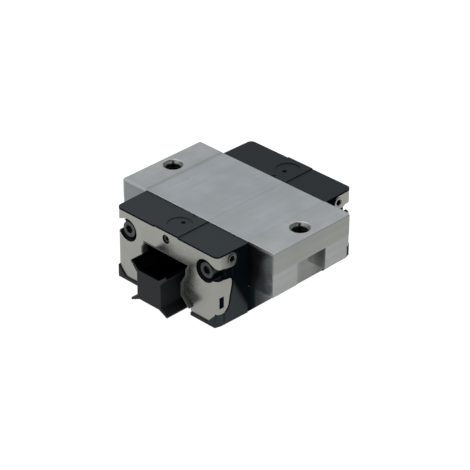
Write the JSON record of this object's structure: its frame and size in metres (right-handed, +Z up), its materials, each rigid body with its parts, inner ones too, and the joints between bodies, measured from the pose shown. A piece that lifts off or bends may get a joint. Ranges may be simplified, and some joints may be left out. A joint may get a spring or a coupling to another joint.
{
  "type": "linear guide carriage",
  "caption": "Flanged ball carriage for a profile rail, with plastic end caps, stainless end plates, rubber seals and a removable transport arbor.",
  "frame": {"origin": "centre of the underside, level with the bottom of the end caps", "axes": "+Y along the rail direction, the longest extent; +Z up, out of the top mounting face, the shortest extent; +X across the rail"},
  "size_m": [0.063, 0.0716, 0.0244],
  "materials": {
    "ground_steel": "ground and lightly polished bearing steel, satin",
    "hardened_steel": "hardened and ground raceway steel, polished",
    "ball_steel": "polished bearing balls",
    "stainless_plate": "thin stainless sheet, fine satin rolled finish",
    "cap_plastic": "black glass-filled moulded plastic, fine texture",
    "guide_plastic": "black moulded plastic, smooth",
    "seal_rubber": "black nitrile rubber",
    "black_oxide": "black oxide on alloy steel",
    "plug_steel": "small blackened steel plug",
    "arbor_plastic": "black moulded plastic, slightly glossy"
  },
  "bodies": {
    "carriage": {"ball_circuit_lower_left": "ball_steel", "ball_circuit_lower_right": "ball_steel", "ball_circuit_upper_left": "ball_steel", "ball_circuit_upper_right": "ball_steel", "ball_guide_left": "guide_plastic", "ball_guide_right": "guide_plastic", "cap_screws_back": "black_oxide", "cap_screws_front": "black_oxide", "deflectors_back_left": "guide_plastic", "deflectors_back_right": "guide_plastic", "deflectors_front_left": "guide_plastic", "deflectors_front_right": "guide_plastic", "end_cap_back": "cap_plastic", "end_cap_front": "cap_plastic", "end_plate_back": "stainless_plate", "end_plate_front": "stainless_plate", "lip_seal_back": "seal_rubber", "lip_seal_front": "seal_rubber", "lube_plug_back": "plug_steel", "lube_plug_front": "plug_steel", "raceway_insert_lower_left": "hardened_steel", "raceway_insert_lower_right": "hardened_steel", "raceway_insert_upper_left": "hardened_steel", "raceway_insert_upper_right": "hardened_steel", "return_tube_lower_left": "guide_plastic", "return_tube_lower_right": "guide_plastic", "return_tube_upper_left": "guide_plastic", "return_tube_upper_right": "guide_plastic", "runner_block": "ground_steel", "side_port_plugs_back": "plug_steel", "side_port_plugs_front": "plug_steel", "side_seal_left": "seal_rubber", "side_seal_right": "seal_rubber"},
    "arbor": {"transport_arbor": "arbor_plastic"}
  },
  "joints": [
    {"name": "arbor_slide", "type": "slide", "parent": "carriage", "child": "arbor", "axis": [0, 1, 0], "range_m": [-0.066, 0.066]}
  ]
}
